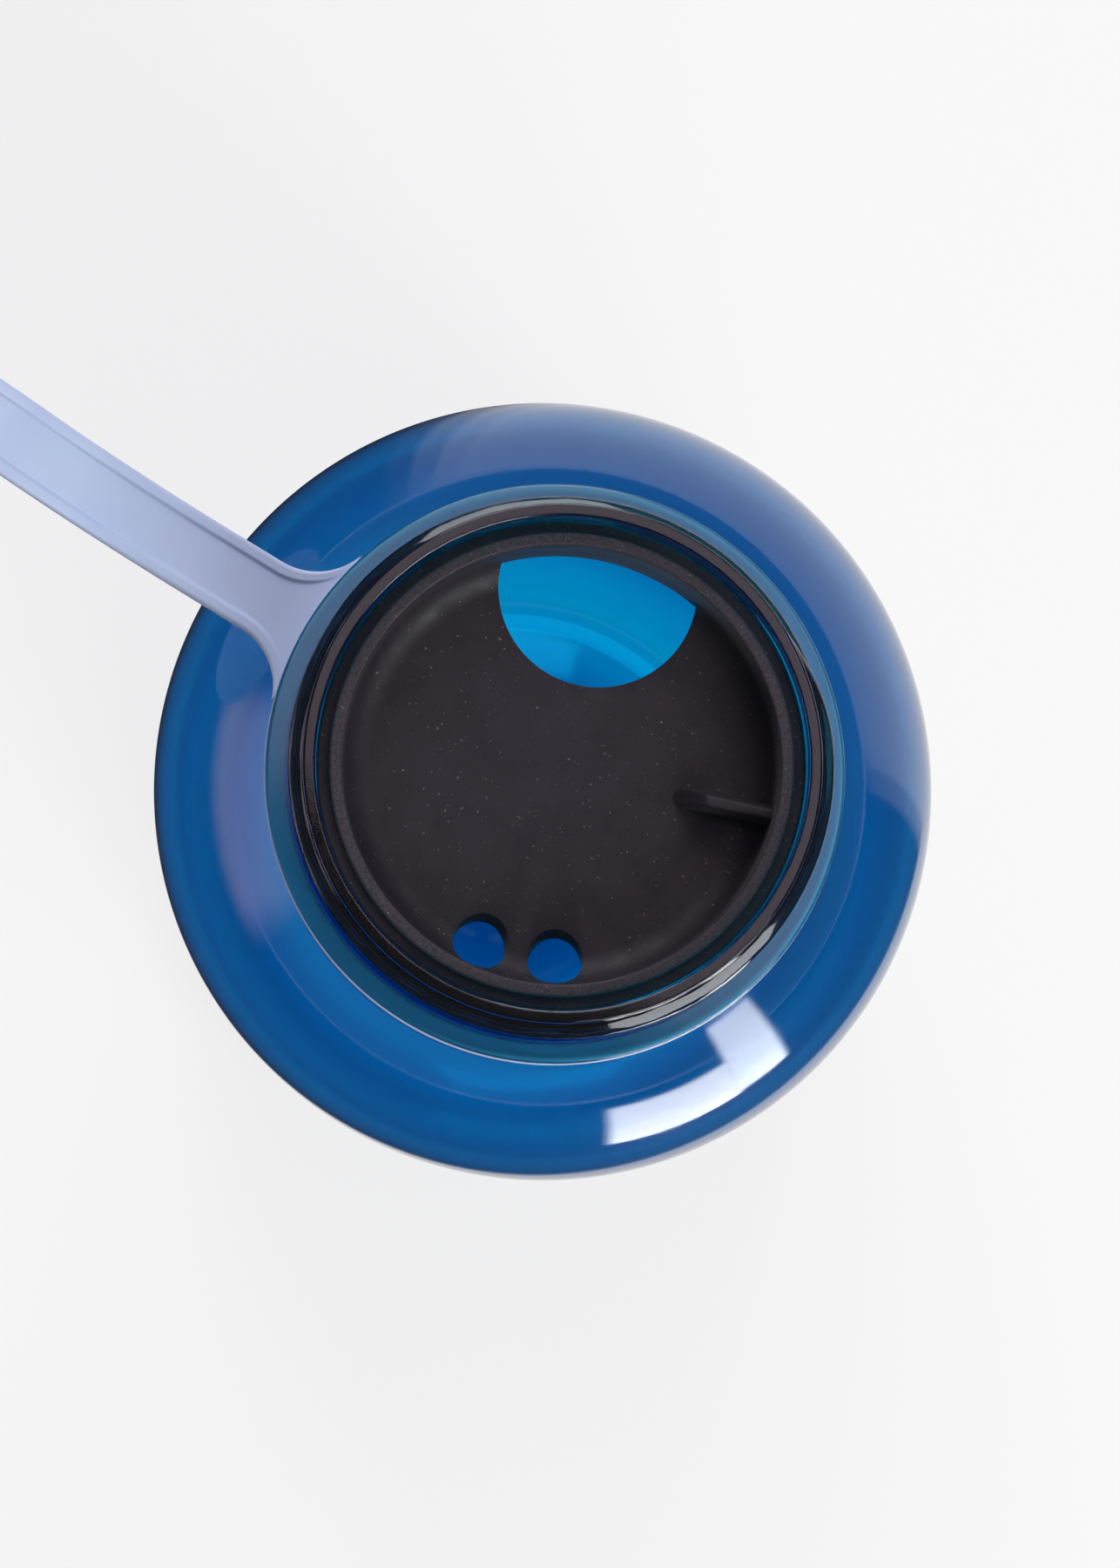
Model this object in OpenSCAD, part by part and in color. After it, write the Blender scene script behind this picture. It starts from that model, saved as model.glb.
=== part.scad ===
// Wide-mouth water bottle: a see-through moulded body, a screw cap held by a
// springy moulded tether, and a soft splash guard pressed into the mouth.
// Millimetres, +Z up. The origin lies on the bottle's axis, in the plane that
// the bottle stands on. The tether leaves the neck along -X. The cap is off the
// mouth and stands out on the end of its strap.

/* [Bottle body] */
// Outer diameter of the body
body_d = 96; // [84:1:116]
// Height from the standing plane to the lip
bottle_h = 196; // [170:1:240]
// Thickness of the body and shoulder wall
wall = 2.2; // [1.4:0.1:3]
// Thickness of the floor
floor_t = 2.8; // [2:0.1:4]
// Radius of the round shoulder
shoulder_r = 34; // [26:1:38]
// Radius of the hollow where the shoulder meets the neck
root_r = 5; // [3:0.5:7]
// Radius of the corner round the base
base_r = 14; // [8:1:18]
// Width of the flat ring that the bottle stands on
foot_w = 3; // [1:0.5:8]
// Height of the dish in the base
dish_h = 6; // [3:0.5:8]

/* [Neck] */
// Diameter of the mouth
mouth_d = 56; // [46:0.5:68]
// Thickness of the neck wall at the lip
lip_t = 1.5; // [1.2:0.1:2.5]
// Radius that rounds the edges of the lip
lip_round = 0.3; // [0.1:0.1:0.5]
// Height of the thread above the neck wall
thread_h = 1.65; // [1:0.05:2]
// Rise of the thread in one turn
thread_pitch = 6; // [4:0.5:7]
// Number of turns of the thread
thread_turns = 1.34; // [1:0.01:1.6]
// Depth of the thread's upper end below the lip
thread_drop = 3.8; // [3.4:0.1:5]
// Compass angle of the thread's upper end
thread_start = 73; // [0:1:359]
// Depth of the flange's underside below the lip
flange_drop = 21.8; // [20.5:0.1:24]
// Thickness of the flange that keeps the tether on
flange_t = 1.6; // [1.2:0.1:2.4]
// Radial height of the flange above the tether's seat
flange_lap = 2.7; // [1.8:0.1:3.2]

/* [Tether] */
// Radial clearance between the neck and the tether's ring
ring_gap = 0.3; // [0.2:0.05:0.5]
// Radial thickness of the tether's ring
ring_t = 2.8; // [2.4:0.1:3.6]
// Height of the tether's ring
ring_h = 4.5; // [3.5:0.1:5.5]
// Width of the strap
strap_w = 9.2; // [8:0.1:11]
// Thickness of the strap at its raised edges
strap_t = 2.4; // [2:0.1:3]
// Thickness of the strap's web between its edges
web_t = 1.6; // [1.2:0.1:1.9]
// Width of each raised edge
rim_w = 1.7; // [1.2:0.1:2.2]
// Radius of the flare where the strap leaves the ring
flare_r = 8; // [5:0.5:9]
// Level length of the strap from the ring to its first flex line
root_len = 13.7; // [12:0.1:17]
// Radius of the strap's upward bend
rise_r = 38; // [32:1:44]
// Turn of the upward bend
rise_turn = 42; // [36:1:46]
// Radius of the arch that carries the strap over
arch_r = 21; // [19:1:24]
// Turn of the arch
arch_turn = 112; // [104:1:118]
// Gap between two strap pieces at a flex line
flex_gap = 0.3; // [0.2:0.05:0.4]
// Angle of each side of the notch above a flex line, from upright
notch_lean = 52; // [50:1:60]

/* [Cap] */
// Thickness of the cap's skirt between its bore and its ribs
cap_wall = 2.4; // [1.8:0.1:4]
// Height of the cap from its open rim to its top face
cap_h = 20; // [18:0.5:24]
// Thickness of the cap's top
cap_top = 2.6; // [2:0.1:3.5]
// Depth of the ribs round the cap
rib_r = 0.9; // [0.5:0.1:1.2]
// Number of ribs round the cap
rib_count = 60; // [36:6:72]
// Clearance between the bottle's thread and the cap's bore
cap_gap = 0.55; // [0.4:0.05:0.8]
// Height of the cap's thread above its bore
cap_thread_h = 1.3; // [0.9:0.05:1.5]
// Number of turns of the cap's thread
cap_turns = 1.2; // [1:0.05:1.4]
// Diameter of the stud that the strap's eye turns on
stud_d = 13; // [10:0.5:16]
// Overhang of the stud's head past the stud
stud_lap = 2.25; // [1.5:0.25:3]
// Thickness of the stud's head
stud_head_t = 1.6; // [1.2:0.1:2.4]
// Radial width of the strap's eye
eye_w = 5; // [4:0.5:6]
// Clearance between the cap and the strap's eye, all round
eye_gap = 0.3; // [0.2:0.05:0.5]
// Thickness of the seal inside the cap
seal_t = 1.6; // [1.2:0.1:2]
// Radial width of the seal
seal_w = 4.2; // [3.6:0.1:6]

/* [Splash guard] */
// Depth of the guard's rim below the lip
guard_drop = 2.8; // [2:0.1:4]
// Radial gap between the mouth and the guard's wall
guard_gap = 1.55; // [1.2:0.05:2]
// Thickness of the guard's wall
guard_wall = 1.45; // [1.2:0.05:2]
// Depth from the guard's rim to its floor
guard_depth = 11.5; // [9:0.5:14]
// Thickness of the guard's floor
guard_floor = 1.8; // [1.4:0.1:2.4]
// Radius of the fillet between wall and floor
guard_fillet = 3.5; // [2:0.5:4]
// Radial clearance between the sealing fins and the mouth
fin_gap = 0.07; // [0.03:0.01:0.1]
// Thickness of a sealing fin
fin_t = 0.9; // [0.6:0.1:1.2]
// Compass angle of the side with the drinking hole
guard_turn = 108.9; // [0:0.1:359]
// Diameter of the drinking hole
drink_d = 23.2; // [18:0.2:25]
// Distance of the drinking hole's centre from the cup's wall
drink_inset = 3.3; // [2:0.1:5]
// Diameter of an air vent
vent_d = 6.4; // [5:0.1:7]
// Distance of the centres of the vents' upper rims from the cup's wall
vent_inset = 2.9; // [2.4:0.1:5]
// Angle of a vent from the line opposite the drinking hole
vent_side = 11.6; // [10:0.1:15]
// Lean of the vents away from upright
vent_lean = 30; // [20:1:35]
// Width of the finger rib
rib_w = 2.3; // [1.8:0.1:3]
// Length of the finger rib along the floor
rib_len = 11.3; // [8:0.1:13]
// Height of the finger rib above the floor
rib_h = 6; // [4:0.5:8]

/* [Hidden] */
$fn = 96;
eps = 0.01;

blue = [0.02, 0.28, 0.62, 0.6];
periwinkle = [0.70, 0.76, 0.88];
black = [0.10, 0.10, 0.11];
seal_grey = [0.62, 0.64, 0.68];

// Radii and heights of the body
body_r = body_d / 2;
mouth_r = mouth_d / 2;
neck_r = mouth_r + lip_t;
thread_r = neck_r + thread_h;
seat_gap = 0.3;
seat_step = 1;
seat_r = neck_r + thread_h + 0.05;
ledge_r = seat_r + seat_step;
flange_r = seat_r + flange_lap;
flange_z = bottle_h - flange_drop;
ring_z = flange_z - seat_gap - ring_h;
ledge_z = ring_z - seat_gap;
ledge_lift = 0.5;
// The root's fillet touches the ledge's side and the shoulder's arc
shoulder_x = body_r - shoulder_r;
root_z = ledge_z - ledge_lift;
root_x = ledge_r + root_r;
shoulder_z = root_z - sqrt(pow(shoulder_r + root_r, 2) - pow(root_x - shoulder_x, 2));
inner_root_r = root_r + wall;
inner_root_x = mouth_r + inner_root_r;
inner_root_z = shoulder_z + sqrt(pow(shoulder_r + root_r, 2) - pow(inner_root_x - shoulder_x, 2));
dish_r = body_r - base_r - foot_w;
dish_arc = (dish_r * dish_r + dish_h * dish_h) / (2 * dish_h);

// Radii of the cap, drawn with its top face at z = 0 and its open rim below
bore_r = thread_r + cap_gap;
skirt_r = bore_r + cap_wall;
cap_r = skirt_r + rib_r;
stud_r = stud_d / 2;
stud_head_r = stud_r + stud_lap;
eye_in = stud_r + eye_gap;
eye_out = eye_in + eye_w;
cap_round = 2;
cap_thread_drop = 3;
seal_out = neck_r + 0.8;
seal_in = seal_out - seal_w;

// Radii and heights of the tether, with its strap's middle plane at strap_z
ring_in = seat_r + ring_gap;
ring_out = ring_in + ring_t;
strap_z = ring_z + ring_h / 2;
ring_edge = 0.4;

// The strap's line as steps of [length, turn], followed outwards from the ring. Each step is one
// piece of the strap, and a flex line lies where two steps meet
eye_x = cap_r + 1.5;
arch_links = 2;
steps = [
    [root_len, 0],
    [rise_r * rise_turn * PI / 180, rise_turn],
    for (i = [1 : arch_links]) [arch_r * arch_turn * PI / 180, -arch_turn] / arch_links,
    [eye_x, 0]
];
last = len(steps) - 1;
half_t = strap_t / 2;
// The round end of a strap piece lies just inside its faces
knuckle_r = half_t - 0.05;
socket_r = knuckle_r + flex_gap;

// Radii and heights of the splash guard
guard_z = bottle_h - guard_drop;
guard_out = mouth_r - guard_gap;
guard_in = guard_out - guard_wall;
guard_floor_z = guard_z - guard_depth;
guard_base_z = guard_floor_z - guard_floor;
fin_r = mouth_r - fin_gap;
fin_drops = [2.2, guard_depth - 1.9];

// ---- Following the strap's line, [outwards, upwards] from the axis and the ring's middle ----

// Slope of the strap where step i starts
function slope_at(i) = i == 0 ? 0 : steps[i - 1][1] + slope_at(i - 1);
// Move along a stretch of length l that turns by t from slope a
function stretch(l, t, a) = t == 0
    ? [l * cos(a), l * sin(a)]
    : (l / (t * PI / 180)) * [sin(a + t) - sin(a), cos(a) - cos(a + t)];
// Point at which step i starts
function point_at(i) = i == 0
    ? [ring_out, 0]
    : point_at(i - 1) + stretch(steps[i - 1][0], steps[i - 1][1], slope_at(i - 1));

// Puts children, drawn with +X along the strap, where step i starts
module at_step(i) {
    p = point_at(i);
    translate([-p[0], 0, strap_z + p[1]])
        rotate([0, -slope_at(i), 180])
            children();
}

// The strap's section, thickness along X: a thin web between two raised edges
module strap_section() {
    half_w = strap_w / 2;
    half_web = web_t / 2;
    edge = half_w - rim_w;
    polygon([[-half_t, -half_w], [half_t, -half_w], [half_t, -edge], [half_web, -edge], [half_web, edge],
        [half_t, edge], [half_t, half_w], [-half_t, half_w], [-half_t, edge], [-half_web, edge],
        [-half_web, -edge], [-half_t, -edge]]);
}

// A stretch of strap along +X, of length l, bending up by t degrees (down if t is negative)
module strap_stretch(l, t) {
    if (t == 0) {
        rotate([0, 90, 0])
            linear_extrude(height = l)
                strap_section();
    } else {
        r = abs(l / (t * PI / 180));
        mirror([0, 0, t < 0 ? 1 : 0])
            translate([0, 0, r])
                rotate([0, 90, 0])
                    rotate([90, 0, 0])
                        rotate_extrude(angle = abs(t), $fn = 360)
                            translate([r, 0])
                                strap_section();
    }
}

// A round bar across the strap at the start of step i
module flex_bar(i, r, w = strap_w) {
    at_step(i)
        rotate([90, 0, 0])
            cylinder(r = r, h = w, center = true);
}

// The notch above the flex line at the start of step i, which lets the strap fold upwards
module flex_notch(i) {
    half_run = strap_t * tan(notch_lean);
    at_step(i)
        rotate([90, 0, 0])
            linear_extrude(height = strap_w + 1, center = true)
                polygon([[0, 0], [half_run, strap_t], [-half_run, strap_t]]);
}

// ---- Bottle body ----

// Outer half-outline of the body below the neck
module body_outline() {
    difference() {
        union() {
            translate([0, base_r]) square([body_r, shoulder_z - base_r]);
            square([body_r - base_r, base_r]);
            translate([body_r - base_r, base_r]) circle(r = base_r);
            intersection() {
                translate([shoulder_x, shoulder_z]) circle(r = shoulder_r);
                translate([0, shoulder_z]) square([body_r, shoulder_r]);
            }
            translate([0, shoulder_z]) square([shoulder_x, shoulder_r]);
            polygon([[0, shoulder_z], [shoulder_x, shoulder_z], [root_x, root_z], [ledge_r, root_z],
                [0, root_z]]);
        }
        translate([root_x, root_z]) circle(r = root_r);
        translate([-base_r - eps, 0]) square([base_r + eps, bottle_h]);
        translate([0, dish_h - dish_arc]) circle(r = dish_arc, $fn = 240);
    }
    square_between([0, root_z - eps], [ledge_r, ledge_z]);
}

// A rectangle from its lowest to its highest corner
module square_between(lo, hi) {
    translate(lo) square(hi - lo);
}

// Half-outline of the hollow inside the bottle, open at the lip
module hollow_outline() {
    inner_r = body_r - wall;
    corner_r = base_r - wall;
    difference() {
        union() {
            square_between([0, floor_t + corner_r], [inner_r, shoulder_z]);
            square_between([0, floor_t], [inner_r - corner_r, floor_t + corner_r]);
            translate([inner_r - corner_r, floor_t + corner_r]) circle(r = corner_r);
            intersection() {
                translate([shoulder_x, shoulder_z]) circle(r = shoulder_r - wall);
                square_between([0, shoulder_z], [body_r, bottle_h]);
            }
            square_between([0, shoulder_z], [shoulder_x, shoulder_z + shoulder_r - wall]);
            polygon([[0, shoulder_z], [shoulder_x, shoulder_z], [inner_root_x, inner_root_z],
                [mouth_r, inner_root_z], [0, inner_root_z]]);
        }
        translate([inner_root_x, inner_root_z]) circle(r = inner_root_r);
        translate([0, dish_h - dish_arc]) circle(r = dish_arc + floor_t, $fn = 240);
        square_between([-base_r, 0], [0, bottle_h]);
    }
    square_between([0, inner_root_z - eps], [mouth_r, bottle_h + 1]);
}

// Half-outline of the neck above the shoulder, with its flange and rounded lip
module neck_outline() {
    square_between([0, ledge_z - eps], [seat_r, flange_z + eps]);
    square_between([0, flange_z], [flange_r, flange_z + flange_t]);
    square_between([0, flange_z + flange_t - eps], [neck_r, bottle_h - lip_round]);
    square_between([mouth_r - 1, bottle_h - 1], [neck_r - lip_round, bottle_h]);
    translate([neck_r - lip_round, bottle_h - lip_round]) circle(r = lip_round);
}

// The rounding cut from the lip's inner edge
module lip_inner_cut() {
    difference() {
        square_between([mouth_r - eps, bottle_h - lip_round], [mouth_r + lip_round, bottle_h + 1]);
        translate([mouth_r + lip_round, bottle_h - lip_round]) circle(r = lip_round);
    }
}

// Steps of the thread in one turn, and its section [radial, axial] with its foot sunk in the wall
thread_steps = 48;
thread_foot = 0.4;
thread_base = 3.4;
thread_crest = 1.3;
thread_fade = 5;

// A thread ridge of height h on radius r (outwards for side 1, inwards for side -1), falling
// clockwise from z = 0, with both ends fading into the wall
module thread_ridge(r, h, turns, side) {
    n = round(turns * thread_steps);
    fade = [for (i = [0 : n]) min(1, (i + 0.6) / thread_fade, (n - i + 0.6) / thread_fade)];
    points = [for (i = [0 : n], p = [[-thread_foot, -thread_base / 2], [fade[i] * h, -thread_crest / 2],
            [fade[i] * h, thread_crest / 2], [-thread_foot, thread_base / 2]])
        let (a = -i * 360 / thread_steps, d = r + side * p[0])
            [d * cos(a), d * sin(a), side * p[1] - i * thread_pitch / thread_steps]];
    sides = [for (i = [0 : n - 1], k = [0 : 3])
        let (a = 4 * i + k, b = 4 * i + (k + 1) % 4)
            each [[a, b + 4, b], [a, a + 4, b + 4]]];
    ends = [[0, 1, 2, 3], [4 * n + 3, 4 * n + 2, 4 * n + 1, 4 * n]];
    polyhedron(points = points, faces = concat(sides, ends), convexity = 6);
}

module bottle_body() {
    color(blue)
        union() {
            rotate_extrude($fn = 180)
                difference() {
                    union() {
                        body_outline();
                        neck_outline();
                    }
                    hollow_outline();
                    lip_inner_cut();
                }
            translate([0, 0, bottle_h - thread_drop])
                rotate([0, 0, thread_start])
                    thread_ridge(neck_r, thread_h, thread_turns, 1);
        }
}

// ---- Splash guard ----

// Half-outline of the guard: a cup with a filleted floor and two sealing fins
module guard_outline() {
    difference() {
        square_between([0, guard_base_z], [guard_out, guard_z]);
        square_between([-eps, guard_floor_z + guard_fillet], [guard_in, guard_z + 1]);
        square_between([-eps, guard_floor_z], [guard_in - guard_fillet, guard_z + 1]);
        translate([guard_in - guard_fillet, guard_floor_z + guard_fillet]) circle(r = guard_fillet);
    }
    for (drop = fin_drops)
        square_between([guard_out - eps, guard_z - drop - fin_t], [fin_r, guard_z - drop]);
}

// The finger rib: a low wall from the cup's side, with a sloping end
module finger_rib() {
    slope_run = 3.4;
    foot = guard_in - rib_len;
    top = guard_floor_z + rib_h;
    sink = guard_floor / 2;
    rotate([90, 0, 0])
        linear_extrude(height = rib_w, center = true)
            polygon([[foot, guard_floor_z - sink], [foot + slope_run, top],
                [guard_in + guard_wall / 2, top], [guard_in + guard_wall / 2, guard_floor_z - sink]]);
}

module splash_guard() {
    color(black)
        rotate([0, 0, guard_turn - 90])
            difference() {
                union() {
                    rotate_extrude($fn = 180) guard_outline();
                    finger_rib();
                }
                intersection() {
                    translate([0, guard_in - drink_inset, guard_base_z - 1])
                        cylinder(d = drink_d, h = guard_depth);
                    translate([0, 0, guard_base_z - 1])
                        cylinder(r = guard_in, h = guard_depth);
                }
                for (side = [-1, 1])
                    rotate([0, 0, side * vent_side])
                        translate([0, vent_inset - guard_in, guard_floor_z])
                            rotate([-vent_lean, 0, 0])
                                cylinder(d = vent_d, h = 4 * guard_floor, center = true);
            }
}

// ---- Tether: a ring, the strap's links and the end with its eye, all one springy moulding ----

// Plan of the strap's root, with a hollow flare on each side where it meets the ring
module root_plan() {
    half_w = strap_w / 2;
    flare_len = sqrt(pow(ring_out + flare_r, 2) - pow(half_w + flare_r, 2));
    difference() {
        union() {
            translate([ring_in + ring_t / 2, -half_w]) square([root_len + ring_t / 2, strap_w]);
            for (side = [-1, 1])
                polygon([[0, 0], [flare_len, 0], [flare_len, side * (half_w + flare_r)]]);
        }
        for (side = [-1, 1])
            translate([flare_len, side * (half_w + flare_r)]) circle(r = flare_r);
        circle(r = ring_in + ring_t / 2, $fn = 180);
    }
}

module tether_ring() {
    color(periwinkle)
        union() {
            translate([0, 0, ring_z])
                rotate_extrude($fn = 180)
                    difference() {
                        square_between([ring_in, 0], [ring_out, ring_h]);
                        for (top = [0, 1])
                            ring_corner_cut(top);
                    }
            difference() {
                rotate([0, 0, 180])
                    translate([0, 0, strap_z - half_t])
                        linear_extrude(height = strap_t)
                            root_plan();
                flex_notch(1);
            }
            flex_bar(1, knuckle_r);
        }
}

// The rounding cut from the ring's outer edge, at its foot or its top
module ring_corner_cut(top) {
    c = top == 1 ? ring_h - ring_edge : ring_edge;
    difference() {
        square_between([ring_out - ring_edge, top * (ring_h - ring_edge) - (1 - top)],
            [ring_out + 1, top * (ring_h + 1) + (1 - top) * ring_edge]);
        translate([ring_out - ring_edge, c]) circle(r = ring_edge);
    }
}

// Link i of the strap, with a round end at step i + 1 and a hollow one where step i starts
module strap_link(i) {
    color(periwinkle)
        union() {
            difference() {
                at_step(i) strap_stretch(steps[i][0], steps[i][1]);
                flex_bar(i, socket_r, strap_w + 1);
                flex_notch(i);
                flex_notch(i + 1);
            }
            flex_bar(i + 1, knuckle_r);
        }
}

// The strap's last piece: a straight stretch that ends in the eye round the cap's stud
module strap_end() {
    color(periwinkle)
        difference() {
            union() {
                at_step(last) strap_stretch(eye_x - eye_in - eye_w / 2, 0);
                at_step(last + 1) cylinder(r = eye_out, h = strap_t, center = true);
            }
            at_step(last + 1) cylinder(r = eye_in, h = strap_t + 1, center = true);
            flex_bar(last, socket_r, strap_w + 1);
            flex_notch(last);
        }
}

// ---- Cap, which lies on the strap's upper side with its open rim away from it ----

// Puts children, drawn hanging below z = 0, on the strap's end with their top face against it
module on_eye() {
    at_step(last + 1)
        translate([0, 0, half_t + eye_gap])
            rotate([180, 0, 0])
                children();
}

// Half-outline of the cap's shell: top, skirt and the stud with its head
module cap_outline() {
    head_z = strap_t + 2 * eye_gap;
    difference() {
        union() {
            square_between([0, -cap_h], [skirt_r, -cap_round]);
            square_between([0, -cap_round - eps], [skirt_r - cap_round, 0]);
            translate([skirt_r - cap_round, -cap_round]) circle(r = cap_round);
        }
        square_between([-eps, -cap_h - 1], [bore_r, -cap_top]);
        square_between([-cap_round, -cap_h], [0, 0]);
    }
    square_between([0, -eps], [stud_r, head_z + eps]);
    square_between([0, head_z], [stud_head_r, head_z + stud_head_t]);
}

module cap() {
    color(periwinkle)
        on_eye()
            union() {
                rotate_extrude($fn = 180) cap_outline();
                for (i = [0 : rib_count - 1])
                    rotate([0, 0, i * 360 / rib_count])
                        translate([skirt_r, 0, -cap_h])
                            cylinder(r = rib_r, h = cap_h - 1.5 * cap_round, $fn = 24);
                translate([0, 0, -cap_h + cap_thread_drop + cap_turns * thread_pitch])
                    thread_ridge(bore_r, cap_thread_h, cap_turns, -1);
            }
}

module cap_seal() {
    color(seal_grey)
        on_eye()
            translate([0, 0, -cap_top - seal_t])
                difference() {
                    cylinder(r = seal_out, h = seal_t, $fn = 180);
                    translate([0, 0, -1]) cylinder(r = seal_in, h = seal_t + 2, $fn = 180);
                }
}

bottle_body();
splash_guard();
tether_ring();
strap_link(1);  // strap_link_1
strap_link(2);  // strap_link_2
strap_link(3);  // strap_link_3
strap_end();
cap();
cap_seal();
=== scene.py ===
"""A clear blue wide-mouth water bottle with a splash guard in its mouth and a screw cap on a flat
springy tether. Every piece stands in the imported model's own frame, in metres. Shapes are worked out
in millimetres and turned into metres when their mesh is made."""

import math

import bpy
import numpy as np
from mathutils import Matrix, Vector


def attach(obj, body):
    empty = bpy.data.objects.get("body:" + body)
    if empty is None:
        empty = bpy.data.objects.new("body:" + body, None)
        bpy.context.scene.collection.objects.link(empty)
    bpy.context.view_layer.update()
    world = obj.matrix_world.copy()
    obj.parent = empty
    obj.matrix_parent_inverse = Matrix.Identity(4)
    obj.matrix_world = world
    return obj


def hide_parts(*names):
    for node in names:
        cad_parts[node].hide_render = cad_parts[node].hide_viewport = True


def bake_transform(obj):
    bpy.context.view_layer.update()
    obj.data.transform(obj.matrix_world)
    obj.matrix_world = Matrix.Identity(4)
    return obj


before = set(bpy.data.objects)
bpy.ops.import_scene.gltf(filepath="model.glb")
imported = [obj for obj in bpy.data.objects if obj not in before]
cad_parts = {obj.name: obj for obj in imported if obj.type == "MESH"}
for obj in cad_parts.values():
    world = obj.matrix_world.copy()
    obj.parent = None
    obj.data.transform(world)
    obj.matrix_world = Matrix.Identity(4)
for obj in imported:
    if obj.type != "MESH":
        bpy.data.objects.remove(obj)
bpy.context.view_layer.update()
scene = bpy.context.scene
MM = 0.001

# ---- Sizes of the real thing, in millimetres (turns and leans in degrees) ----

# The bottle's body, and the dish under it
BODY_R, BOTTLE_H, WALL, FLOOR_T = 48.0, 196.0, 2.2, 2.8
SHOULDER_R, ROOT_R, BASE_R, DISH_H, DISH_R = 34.0, 5.0, 14.0, 6.0, 31.0
# Its neck: the mouth and lip, then the tether's seat between a ledge and a flange
MOUTH_R, NECK_R, LIP_ROUND = 28.0, 29.5, 0.3
SEAT_R, LEDGE_R, FLANGE_R = 31.2, 32.2, 33.9
FLANGE_Z, FLANGE_T, LEDGE_Z, ROOT_Z = 174.2, 1.6, 169.1, 168.6
# Its thread: where it runs, its section, and the heights between which its wall is cut finely
THREAD_H, THREAD_PITCH, THREAD_TURNS, THREAD_DROP, THREAD_START = 1.65, 6.0, 1.34, 3.8, 73.0
THREAD_BASE, THREAD_CREST, THREAD_FOOT, THREAD_FADE = 3.4, 1.3, 0.4, 37.5
THREAD_LOW, THREAD_HIGH, THREAD_STEP = 181.6, 194.6, 0.26
# The splash guard's cup and its two sealing fins
GUARD_Z, GUARD_FLOOR, GUARD_BASE, GUARD_OUT, GUARD_IN = 193.2, 181.7, 179.9, 26.45, 25.0
GUARD_FILLET, FIN_R, FIN_T, FINS, GUARD_TURN = 3.5, 27.93, 0.9, (182.7, 190.1), 18.9
# Its drinking hole, its two vents and its finger rib
DRINK_D, DRINK_Y, DRINK_CUT = 23.2, 21.7, (-1, 10.5)
VENT_D, VENT_Y, VENT_SIDE, VENT_LEAN, VENT_CUT = 6.4, -22.1, 11.6, 30.0, 3.6
FINGER_FOOT, FINGER_W, FINGER_H, FINGER_SLOPE, FINGER_SUNK = 13.7, 2.3, 6.0, 3.4, 0.9
# The tether's ring and the strap's section
RING_IN, RING_OUT, RING_SHOWN, RING_Z, RING_H = 31.5, 34.3, 34.05, 169.4, 4.5
STRAP_Z, HALF_W, HALF_T, HALF_WEB, RIM_W, RIM_RUN = 171.65, 4.6, 1.2, 0.8, 1.7, 0.35
# The strap's line: straight, an arc up, the arch and a straight fall to the eye
ROOT_LEN, RISE_R, RISE_TURN, ARCH_R, ARCH_TURN, END_LEN = 13.7, 38.0, 42.0, 21.0, 112.0, 36.5
FLARE_R, EYE_IN, EYE_OUT, EYE_FLARE_R, EYE_LAP = 8.0, 6.8, 11.8, 5.0, 9.2
# The cap, its grip ribs, its thread, the stud that the eye turns on, and its seal
CAP_H, CAP_TOP, CAP_ROUND, BORE_R, SKIRT_R = 20.0, 2.6, 2.0, 31.7, 34.1
GRIPS, GRIP_R, GRIP_TOP, GRIP_EASE = 60, 0.9, 2.2, 1.6
CAP_THREAD_H, CAP_TURNS, CAP_THREAD_LOW, CAP_THREAD_STEP = 1.3, 1.2, 3.0, 0.55
STUD_R, STUD_HEAD_R, STUD_HEAD_T, EYE_GAP = 6.5, 8.75, 1.6, 0.3
SEAL_OUT, SEAL_IN, SEAL_T = 30.3, 26.1, 1.6


# ---- Outlines ----

FILLET_SHARE = 0.45         # the most of a side that one fillet may take
HOLD, HOLD_SHARE = 0.25, 0.04   # how far beyond a fillet its extra point stands, or what share of the side
SAME_POINT = 1e-4


def arc(centre, radius, start, end, count):
    """Points of a circular arc: centre + radius * (cos a, sin a), with a in degrees from start to end."""
    a = np.radians(np.linspace(start, end, count))
    return np.column_stack([centre[0] + radius * np.cos(a), centre[1] + radius * np.sin(a)])


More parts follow.
